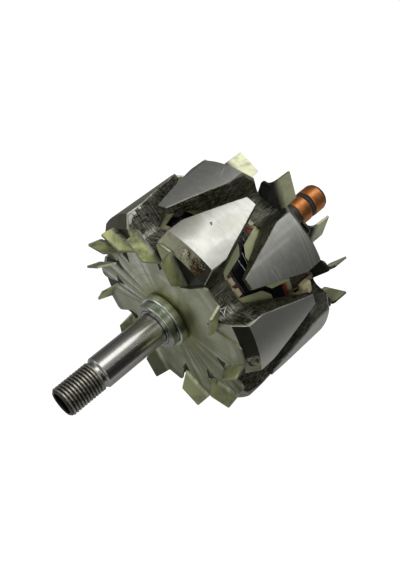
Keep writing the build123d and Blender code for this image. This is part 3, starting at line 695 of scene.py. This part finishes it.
# at a place s from the fan face a claw flares over the bevel, runs straight and then narrows evenly; its
# outside is a cone over the bevel and then a cylinder, and its inside is a cone
def clawHalfWidth(s):
    flare = pole["flare"] * np.clip(1 - s / pole["bevelLength"], 0, None)
    taper = np.clip((s - pole["straight"]) / (pole["length"] - pole["straight"]), 0, None)
    return pole["halfWidth"] + flare - (pole["halfWidth"] - pole["tipHalfWidth"]) * taper


def clawOuter(s):
    return pole["radius"] - pole["bevelDepth"] * np.clip(1 - s / pole["bevelLength"], 0, None)


def clawInner(s):
    along = (s - pole["web"]) / (pole["length"] - pole["web"])
    return pole["rootInner"] + (pole["tipInner"] - pole["rootInner"]) * along


def filletCentre(halfWidth):
    # centre of the round between a claw's flank and the valley, beside a claw that points up
    t = halfWidth + pole["fillet"]
    return t, np.sqrt((pole["valleyRadius"] + pole["fillet"]) ** 2 - t ** 2)


def polePiece(name, firstClaw, faceX, way):
    # grids whose rows are places s from the fan face towards the claw tips and whose columns go round the
    # shaft. A claw's skin goes up one flank (t = half width), over an uneven edge break, across the cylinder
    # r = outer radius and down the other flank. A valley goes down a round, along the cylinder r = valley
    # radius and up the next round. A cone lies under each claw, and flat rings close both sides of the web.
    bevelEnd, web, bore = pole["bevelLength"], pole["web"], pole["bore"]
    webRows = np.concatenate([np.linspace(0, bevelEnd - 0.05, pole["bevelRows"]),
                              np.linspace(bevelEnd, web, pole["webRows"])])[:, None]
    freeRows = np.linspace(web, pole["length"], pole["freeRows"])[:, None]
    coneColumns, dropColumns = pole["coneColumns"], pole["flankColumns"][0]
    pitch = 360 / pole["claws"]
    flip = way < 0
    quilt = Quilt()

    def put(s, turn, radius, flipped=flip, **marks):
        quilt.lay(onShaft(faceX + way * s, radius, turn), flipped, **marks)

    def skin(s, bottoms, claw):
        # one row for each s; bottoms are lists of heights where runs of flank columns start, lowest first
        w, outer = clawHalfWidth(s), clawOuter(s)
        sides = []
        for side in (0, 1):
            place = np.concatenate([s, s * 0 + side * 40, s * 0 + claw * 11], 1)
            ragged = lumps(place, 1.7, 3) * 0.6 + lumps(place, 0.6, 5) * 0.4
            cut = (pole["edgeBreak"] + pole["edgeBreakSpread"] * ragged)[:, None]
            top = np.sqrt((outer - cut) ** 2 - w ** 2)
            knots = bottoms + [top]
            runs = [low + (high - low) * np.linspace(0, 1, count)[:-1]
                    for low, high, count in zip(knots[:-1], knots[1:], pole["flankColumns"][-len(bottoms):])]
            heights = np.concatenate(runs + [top], 1)
            sides.append((np.hypot(w, heights), np.degrees(np.arctan2(w, heights)), cut))
        (rightR, rightTurn, rightCut), (leftR, leftTurn, leftCut) = sides
        across = np.linspace(0, 1, pole["skinColumns"])
        t = (w - rightCut) + (2 * w - rightCut - leftCut) * -across
        topTurn = -np.degrees(np.arcsin(t / outer))
        radius = np.concatenate([rightR, outer + t * 0, leftR[:, ::-1]], 1)
        turn = np.concatenate([-rightTurn, topTurn, leftTurn[:, ::-1]], 1)
        machined = np.where(s < bevelEnd - 0.01, 0.5, 1)
        return radius, turn, np.concatenate([rightR * 0, machined + t * 0, leftR * 0], 1)

    def valley(s):
        # the strip from one claw's flank to the next one's, turned from the first claw's middle
        t, h = filletCentre(clawHalfWidth(s))
        angle = -np.pi + (np.arctan2(-h, -t) + np.pi) * np.linspace(0, 1, pole["roundColumns"])
        roundT = t + pole["fillet"] * np.cos(angle)
        roundH = h + pole["fillet"] * np.sin(angle)
        roundTurn = np.degrees(np.arctan2(roundT, roundH))
        along = np.linspace(0, 1, pole["floorColumns"])[1:]
        floorTurn = roundTurn[:, -1:] + (pitch / 2 - roundTurn[:, -1:]) * along
        halfTurn = np.concatenate([roundTurn, floorTurn], 1)
        halfR = np.concatenate([np.hypot(roundT, roundH), floorTurn * 0 + pole["valleyRadius"]], 1)
        turn = np.concatenate([halfTurn, pitch - halfTurn[:, -2::-1]], 1)
        return np.concatenate([halfR, halfR[:, -2::-1]], 1), turn

    webBottom = filletCentre(clawHalfWidth(webRows))[1]
    rowBottom = filletCentre(clawHalfWidth(freeRows[:1]))[1]
    freeInner, freeTop = clawInner(freeRows), clawOuter(freeRows)
    innerHeight = np.sqrt(freeInner ** 2 - clawHalfWidth(freeRows) ** 2)
    share = (rowBottom - innerHeight[:1]) / (freeTop[:1] - innerHeight[:1])
    freeMiddle = innerHeight + (freeTop - innerHeight) * share
    half = np.degrees(np.arcsin(clawHalfWidth(freeRows) / freeInner))
    under = half * np.linspace(-1, 1, coneColumns)
    inwards = np.array([0, 0.004, 0.4, 1])[:, None]
    for claw in range(pole["claws"]):
        middle = firstClaw + pitch * claw
        radius, turn, finish = skin(webRows, [webBottom], claw)
        put(webRows, middle + turn, radius, finish=finish, depth=clawOuter(webRows) - radius)
        frontR, frontTurn, frontFinish = radius[0], middle + turn[0], finish[0]
        radius, turn, finish = skin(freeRows, [innerHeight, freeMiddle], claw)
        put(freeRows, middle + turn, radius, finish=finish, depth=freeTop - radius)
        dropR, dropTurn = radius[0, :dropColumns], turn[0, :dropColumns]
        # cone under the claw
        put(freeRows, middle + under, freeInner, not flip, finish=0, depth=9)
        # tip, round which the skin's last row and the cone's make a loop
        loopR = np.concatenate([radius[-1], np.full(coneColumns, freeInner[-1, 0])])
        loopTurn = middle + np.concatenate([turn[-1], under[-1, ::-1]])
        loop = onShaft(faceX + way * pole["length"], loopR, loopTurn)
        tip = np.stack([loop, loop + (loop.mean(0) - loop) * 0.03])
        loopFinish = np.concatenate([finish[-1], np.zeros(coneColumns)])
        start = quilt.lay(tip, flip, closeColumns=True, depth=pole["radius"] - loopR,
                          finish=np.stack([loopFinish, loopFinish * 0]))
        quilt.cap(start + len(loop), len(loop), flip)
        # valley to the next claw
        radius, turn = valley(webRows)
        for lead in pole["leadTurns"] if way < 0 else ():
            off = np.radians(middle + turn - lead)
            notch = ease(np.abs(radius * np.sin(off)), pole["notchHalf"] + 0.5, pole["notchHalf"])
            near = ease(webRows, pole["notchDepth"] + 0.4, pole["notchDepth"])
            radius = radius - 5 * (np.cos(off) > 0) * notch * near
        put(webRows, middle + turn, radius, finish=0, depth=pole["deep"])
        # flat sides of the web, from these outlines in to the bore
        ringR = np.concatenate([frontR, radius[0]])
        ringTurn = np.concatenate([frontTurn, middle + turn[0]])
        ringFinish = np.concatenate([frontFinish, radius[0] * 0]) * (inwards == 0)
        put(0, ringTurn, ringR + (bore - ringR) * inwards, not flip, finish=ringFinish,
            depth=clawOuter(0) - ringR)
        inner = np.full(coneColumns - 2, pole["rootInner"])
        rearR = np.concatenate([dropR[::-1], inner, dropR, radius[-1]])
        rearTurn = np.concatenate([dropTurn[::-1], under[0, 1:-1], -dropTurn, turn[-1]]) + middle
        put(web, rearTurn, rearR + (bore - rearR) * inwards, finish=0, depth=pole["deep"])

    def forged(points):
        # roughness in mm, none on the machined skin, the bore or the fan face
        s = way * (points[:, 0] - faceX)
        radius = np.hypot(points[:, 1], points[:, 2])
        raw = ease(clawOuter(s) - radius, *pole["roughDepth"]) * ease(s, *pole["roughPlace"])
        raw = raw * ease(radius, *pole["roughRadius"])
        large, largeSize, small, smallSize = pole["roughness"]
        offsets = [large * lumps(points, largeSize, seed) + small * lumps(points, smallSize, seed + 4)
                   for seed in (1, 2, 3)]
        return np.stack(offsets, -1) * raw[:, None]

    return quilt.stitch(name, forging, 38, forged)


print("pole pieces")
forging = forgingMaterial()
standIn(polePiece("drivePole", pole["firstDriveClaw"], pole["faceX"], 1),
        "drive_end_pole_piece")
standIn(strands("poleShavings", pole["shavings"], pole["shavingSize"], plain["bareBurr"]),
        "drive_end_pole_piece")
standIn(polePiece("slipPole", pole["firstSlipClaw"], pole["otherFaceX"], -1),
        "slip_ring_end_pole_piece")


# Shaft, collar and spacer

shaft = {
    "start": -52.3, "threadEnd": -34.4, "threadRadius": 7, "threadChamfer": 1.1,
    "pitch": 1.5, "threadDepth": 0.72, "rootFlat": 0.1, "crestFlat": 0.32, "runOut": 1.3,
    "socketRadius": 5.2, "socketDepth": 12, "socketMouth": 0.35, "socketCone": 2,
    "reliefRadius": 6.45, "journalStart": -32.7, "journalRadius": 7.5, "journalChamfer": 0.8,
    "seatRadius": 8.75, "cutAt": 4, "edge": 0.12,
    "rows": 200, "columns": 144,
}

collar = {
    "length": 8.5, "bore": 8.78, "frontRadius": 11.5, "frontLength": 3.8, "rearRadius": 12.9,
    "groove": 0.5, "chamfer": 0.5, "edge": 0.14,
    # start and end of the olive tone; middle, half width and soft edge of the painted dark reflection in
    # degrees
    "olive": (5.4, 7.4), "darkReflectionSector": (60, 12, 16),
}


def shaftFront():
    # surface of revolution whose radius in the threaded stretch falls by a groove of trapezoid section that
    # climbs one pitch for each turn: the phase is x / pitch - angle / 360
    start, end, crest, seat = (shaft[key] for key in ("start", "threadEnd", "threadRadius", "seatRadius"))
    bore, mouth, journal = shaft["socketRadius"], shaft["socketMouth"], shaft["journalRadius"]
    bottom, step, relief = start + shaft["socketDepth"], shaft["journalStart"], shaft["reliefRadius"]
    chamfer, cutAt = shaft["journalChamfer"], shaft["cutAt"]
    threadX = np.linspace(start, end, shaft["rows"])[:, None]
    degrees = np.arange(shaft["columns"]) * 360 / shaft["columns"]
    phase = threadX / shaft["pitch"] - degrees / 360
    ridge = np.abs(phase - np.floor(phase) - 0.5) * 2
    rise = np.clip((ridge - shaft["rootFlat"]) / (1 - shaft["rootFlat"] - shaft["crestFlat"]), 0, 1)
    groove = shaft["threadDepth"] * (1 - rise) * ease(threadX, end, end - shaft["runOut"])
    leadIn = np.minimum(crest, crest - shaft["threadChamfer"] + threadX - start)
    socket = np.array([(bottom + shaft["socketCone"], 0), (bottom, bore), (start + mouth, bore),
                       (start, bore + mouth)])
    rest = roundOff([(end, crest), (end + 0.25, relief), (step, relief), (step, journal - chamfer),
                     (step + chamfer, journal), (0, journal), (0, seat), (cutAt, seat), (cutAt, 0)],
                    shaft["edge"])[1:]
    x = np.concatenate([socket[:, :1], threadX, rest[:, :1]])
    radius = np.concatenate([socket[:, 1:] + degrees * 0, np.minimum(crest - groove, leadIn),
                             rest[:, 1:] + degrees * 0])
    quilt = Quilt()
    quilt.lay(onShaft(x, radius, degrees), closeColumns=True)
    piece = quilt.stitch("shaftFront", turnedSteel, 40)
    # the threaded stretch and the socket have a darker finish
    piece.data.materials.append(threadSteel)
    centres = np.empty(len(piece.data.polygons) * 3)
    piece.data.polygons.foreach_get("center", centres)
    threaded = centres.reshape(-1, 3)[:, 0] < (end + 0.05) * mm
    piece.data.polygons.foreach_set("material_index", threaded.astype(np.int32))
    return piece


def collarOutline():
    # up the front face, along the two steps with the groove between them, and down to the neck
    g, c, bore = collar["groove"], collar["chamfer"], collar["bore"]
    front, rear = collar["frontRadius"], collar["rearRadius"]
    step, end = collar["frontLength"], collar["length"]
    return roundOff([
        (0.3, bore), (0, bore + 0.3), (0, front - c), (c, front), (step - g, front), (step - g, front - g),
        (step, front - g), (step, rear - c), (step + c, rear), (end - g - c, rear), (end - g, rear - c),
        (end - g, rear - 2 * g), (end, rear - 2 * g), (end, bore), (end, bore - 0.001),
    ], collar["edge"])


print("shaft")
turnedSteel = turnedSteelMaterial()
threadSteel = threadMaterial()
standIn(shaftFront(), "shaft")
recast("shaft", "shaftRear", turnedSteel, keepFrom=shaft["cutAt"])
standIn(turned("stopCollar", collarOutline(), zincMaterial()), "stop_collar")
recast("bearing_spacer", "bearingSpacer", turnedSteel)


# Fans

fans = {
    "sideArea": 60,                               # mm2, more than any cut edge and less than a side
    "edgeShadeTo": 67.5,                           # mm along the shaft, end of the painted shade on the edges at the slip rings
    # creases, painted reflection round the hub, a darker patch and painted shade on the lower half of the
    # flat sheets: radii where they fade, and sectors as middle, half width and soft edge
    "creaseStart": (13.5, 17), "hubReflection": (28, 17), "darkPatchReach": (39, 25), "darkPatchSector": (60, 26, 20),
    "shadedLowerSector": (118, 50, 30),
    # painted slot shade: lean in degrees for each mm, point, widening, and middle, half and soft end of their
    # radii
    "slotLeanFrom": 32, "slotLean": 0.45, "slotPoint": 29.2, "slotWidening": 0.85,
    "slotBand": (31.7, 2.4, 0.3),
    # each fan: face that the blades stand on and their way; height, first radius and strength of the painted
    # shade in the blade roots; creased sectors as middle and half width in degrees; angles of the painted
    # slots;
    # darkest and lightest green of the blades and the colour of their painted light; sectors of painted light
    # and of painted shade as middle, half width and strength
    "drive": {"face": 8.5, "way": -1, "bladeRootShadeHeight": 2, "bladeRootShadeFrom": 40, "bladeRootShade": 0.3,
              "creased": [(-64, 40), (126, 34)],
              "slots": [22, 59, 99, 133, 166, -158, -128, -90.5, -68, -47, -25, -1.5],
              "green": ((0.2, 0.22, 0.12), (0.62, 0.67, 0.27)), "paintedLightGreen": (0.84, 0.88, 0.38),
              "metallic": 0.7, "paintedLight": [(-8, 9, 0.6), (-34, 8, 0.35), (-62, 10, 0.35)],
              "paintedShade": [(167, 14, 0.75), (-156, 16, 0.95), (136, 9, 0.3), (108, 14, 0.5)]},
    "slip": {"face": 64.4, "way": 1, "bladeRootShadeHeight": 5.2, "bladeRootShadeFrom": 33, "bladeRootShade": 0.93,
             "creased": [(20, 50), (150, 30)],
             "slots": [24, 55, 81, 107, 143, 172, -157, -123, -94, -68, -48],
             "green": ((0.4, 0.42, 0.24), (0.72, 0.76, 0.42)), "paintedLightGreen": (0.93, 0.94, 0.66),
             "metallic": 0.45, "paintedLight": [(-12, 12, 0.9), (17, 10, 0.3)], "paintedShade": [(100, 30, 0.4)]},
}

print("fans")
cutSheet = cutSheetMaterial()
for node, name, look, fan in (("drive_end_fan", "driveFan", "driveChromate", fans["drive"]),
                              ("slip_ring_end_fan", "slipFan", "slipChromate", fans["slip"])):
    sheet = recast(node, name, chromateMaterial(look, fan))
    paintCutEdges(sheet, cutSheet, fans["sideArea"])


# Coil

coil = {
    "paperSideArea": 20,                          # mm2, more than any cut edge of the papers
    "paintedLightWire": (45.5, 47.5),                   # mm along the shaft, from dark enamel to its painted light
    "windingStart": 24.1, "windingEnd": 48.8, "windingRadius": 35.7, "windingInner": 27.3,
    "wirePitch": 0.95, "wireDepth": 0.22, "corner": 1.2,
    "tapeStart": 26.5, "tapeEnd": 46.4, "tapeRadius": 36.13, "tapeInner": 35.73,
    "wraps": 26, "wrapStep": 0.26, "wrapSlant": 0.21, "tapeLumps": 0.3, "tapeBelow": 0.3,
    "wireRows": 260, "tapeRows": 90, "tapeColumns": 720,
    # painted highlights on the tape: place along the shaft, slope, angle, half span, half width and strength
    "glints": [(36.2, -0.16, 37, 5.5, 0.12, 0.9), (33.3, -0.03, 38, 4.5, 0.1, 0.8),
               (42.3, -0.1, 23.5, 2, 0.12, 0.35), (39.6, -0.2, 29.5, 2, 0.12, 0.35)],
    # lug that holds the leads: place along the shaft, radius, angle; half sizes
    "lugMiddle": (55.4, 39.2, 78.2), "lugHalf": (2.8, 3.4, 1.6),
}


def windingOutline():
    # wire turns as a ripple along the outside: radius falls by depth * (1 - |sin|) between turns
    start, end, top = coil["windingStart"], coil["windingEnd"], coil["windingRadius"]
    x = np.linspace(start, end, coil["wireRows"])
    bend = coil["corner"]
    short = (bend - np.minimum(x - start, end - x)).clip(0)
    fall = bend - np.sqrt(np.clip(bend ** 2 - short ** 2, 0, None))
    ripple = coil["wireDepth"] * (1 - np.abs(np.sin(np.pi * (x - start) / coil["wirePitch"])))
    outside = np.stack([x, top - fall - ripple], 1)
    return np.concatenate([[(start, coil["windingInner"])], outside, [(end, coil["windingInner"])]])


def tapeSleeve():
    # slanting turns of tape: each turn's edge stands a step above the last one, and all is uneven with what
    # lies below
    start, end, base = coil["tapeStart"], coil["tapeEnd"], coil["tapeInner"] - coil["tapeBelow"]
    x = np.linspace(start, end, coil["tapeRows"])[:, None]
    degrees = np.arange(coil["tapeColumns"]) * 360 / coil["tapeColumns"]
    phase = degrees / 360 * coil["wraps"] + (x - start) * coil["wrapSlant"]
    lap = phase - np.floor(phase)
    centre = onShaft(x, coil["tapeRadius"], degrees)
    uneven = lumps(centre, 4.5, 7) * 0.5 + lumps(centre, 1.8, 9) * 0.25 - 0.5
    drop = coil["wrapStep"] * (1 - lap) - coil["tapeLumps"] * uneven
    radius = coil["tapeRadius"] - np.clip(drop, 0, None)
    radius = base + (radius - base) * ease(np.minimum(x - start, end - x), 0, 0.8)
    quilt = Quilt()
    quilt.lay(onShaft(x, radius, degrees), closeColumns=True)
    back = np.array([end, start])[:, None]
    quilt.lay(onShaft(back, base, degrees), closeColumns=True)
    return quilt.stitch("windingTape", tapeMaterial(), 40)


print("coil")
winding = turned("fieldWinding", windingOutline(), copperWireMaterial(), 70)
standIn(winding, "field_winding")
standIn(tapeSleeve(), "winding_tape")
recast("coil_bobbin", "coilBobbin", plain["creamNylon"])
lug = pillow("leadLug", coil["lugMiddle"], coil["lugHalf"], plain["lugNylonPaintedLight"])
standIn(lug, "coil_bobbin")
for node, name, look in (("drive_end_insulating_paper", "drivePaper", "olivePaper"),
                         ("slip_ring_end_insulating_paper", "slipPaper", "paperPaintedLight")):
    paper = recast(node, name, plain[look])
    paintCutEdges(paper, plain["paperEdgeShadow"], coil["paperSideArea"])
recast("pole_core", "poleCore", turnedSteel)

print("slip rings and leads")
for node, name, material, slot in (
    ("slip_ring_moulding", "ringMoulding", plain["blackMoulding"], "black_moulding"),
    ("inner_slip_ring", "innerRing", ringCopper, "ring_copper"),
    ("outer_slip_ring", "outerRing", ringCopper, "ring_copper"),
    ("inner_ring_conductor", "innerConductor", ringCopper, "ring_copper"),
    ("outer_ring_conductor", "outerConductor", ringCopper, "ring_copper"),
    ("inner_field_lead", "innerLead", plain["brownLead"], "enamelled_copper"),
    ("outer_field_lead", "outerLead", plain["brownLead"], "enamelled_copper"),
    ("inner_lead_sleeve", "innerSleeve", plain["wovenSleeve"], "sleeve_cloth"),
    ("outer_lead_sleeve", "outerSleeve", plain["wovenSleeve"], "sleeve_cloth"),
    ("lead_solder_joints", "solderJoints", plain["softSolder"], "solder"),
):
    recast(node, name, material)


# Studio

studio = {
    "cameraPlace": (-121.1, -168.3, 259.6),       # mm, in the part's own frame
    "cameraTurn": (41.243, 3.511, -45.664),       # degrees
    "lens": 68.27,
    "floorReach": 3, "floorShade": 0.55, "floorGlow": 1.28, "floorWhite": 0.8,
    # the floor turns dark beyond this distance from the rotor, in mm; shades on the camera's right and left
    "darkFrom": 80, "darkTo": 135, "darkShade": 0.05, "darkShadeLeft": 0.3,
    "skyLow": 0.26, "skyHigh": 0.48,
    # dark cards beside the rotor: direction, how dark, and the cosines where the soft edge starts and ends
    "cards": [((0.35, -0.87, 0.34), 0.93, 0.8, 0.93), ((0.43, 0.83, 0.34), 0.65, 0.7, 0.93)],
    "lampAim": (30, 0, 0),                        # mm, middle of the pole body
    # lamps: direction, distance and size in metres with the first side along the shaft, and brightness
    "lamps": {"topSoftbox": ((0.25, 0, 0.93), 0.9, (1.3, 0.46), 1.75),
              "frontFill": ((-0.5, -0.68, 0.55), 1.4, (1, 1), 1.3),
              "leftFill": ((-0.6, 0.6, 0.5), 1.4, (0.8, 0.8), 0.9),
              "stripLamp": ((0.36, -0.64, 0.68), 1, (1.2, 0.03), 1.6)},
}


def addCamera():
    camera = bpy.data.cameras.new("photoCamera")
    camera.sensor_fit = "HORIZONTAL"
    camera.sensor_width = 36
    camera.lens = studio["lens"]
    camera.clip_start = 0.01
    holder = addObject("photoCamera", camera)
    holder.location = Vector(studio["cameraPlace"]) * mm
    holder.rotation_euler = [math.radians(v) for v in studio["cameraTurn"]]
    bpy.context.scene.camera = holder


def addFloor():
    shader = Shader("paleFloor")
    seen = shader.node("LightPath", output="Is Camera Ray")
    aside = shader.split(shader.place())[1] * perMetre
    tone = (studio["floorShade"],) * 3
    for way, shade in ((-1, studio["darkShade"]), (1, studio["darkShadeLeft"])):
        tone = shader.mix((aside * way).step(studio["darkFrom"], studio["darkTo"]), tone, (shade,) * 3)
    lit = shader.node("BsdfDiffuse", {"Color": tone})
    glow = shader.node("Emission", {"Color": (1, 1, 1), "Strength": studio["floorGlow"]})
    shader.use(shader.node("MixShader", [seen * studio["floorWhite"], lit, glow]))
    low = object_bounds()[0][2]
    mesh = bpy.data.meshes.new("floor")
    reach = studio["floorReach"]
    corners = [(-reach, -reach, low), (reach, -reach, low), (reach, reach, low), (-reach, reach, low)]
    mesh.from_pydata(corners, [], [(0, 1, 2, 3)])
    mesh.materials.append(shader.owner)
    addObject("floor", mesh)


def addLamp(name, towards, distance, size, brightness):
    # soft lamp that looks at the pole body; brightness is what a mirror would show
    lamp = bpy.data.lights.new(name, "AREA")
    lamp.shape = "RECTANGLE"
    lamp.size, lamp.size_y = size
    lamp.energy = brightness * math.pi * size[0] * size[1]
    holder = addObject(name, lamp)
    back = Vector(towards).normalized()
    aside = back.cross(Vector((1, 0, 0))).normalized()
    holder.location = Vector(studio["lampAim"]) * mm + back * distance
    holder.rotation_euler = Matrix((aside.cross(back), aside, back)).transposed().to_euler()


def addWorld():
    # white for the camera; for the rest a sky that is dimmer near the horizon and at the dark cards
    shader = Shader("studioWorld", "worlds", "ShaderNodeOutputWorld")
    direction = shader.node("TexCoord", output="Generated")
    rise = shader.split(direction)[2]
    sky = rise.step(0, 0.9) * (studio["skyHigh"] - studio["skyLow"]) + studio["skyLow"]
    for towards, darkness, edge, full in studio["cards"]:
        card = shader.node("VectorMath", [direction, towards], "Value", operation="DOT_PRODUCT")
        sky = sky * (1 - card.step(edge, full) * darkness)
    seen = shader.node("LightPath", output="Is Camera Ray")
    strength = (1 - sky) * seen + sky
    back = shader.node("Background", {"Color": (1, 1, 1), "Strength": strength})
    bpy.context.scene.world = shader.use(back)


print("studio")
addCamera()
addFloor()
addWorld()
for name, values in studio["lamps"].items():
    addLamp(name, *values)
bpy.context.scene.view_settings.view_transform = "Standard"
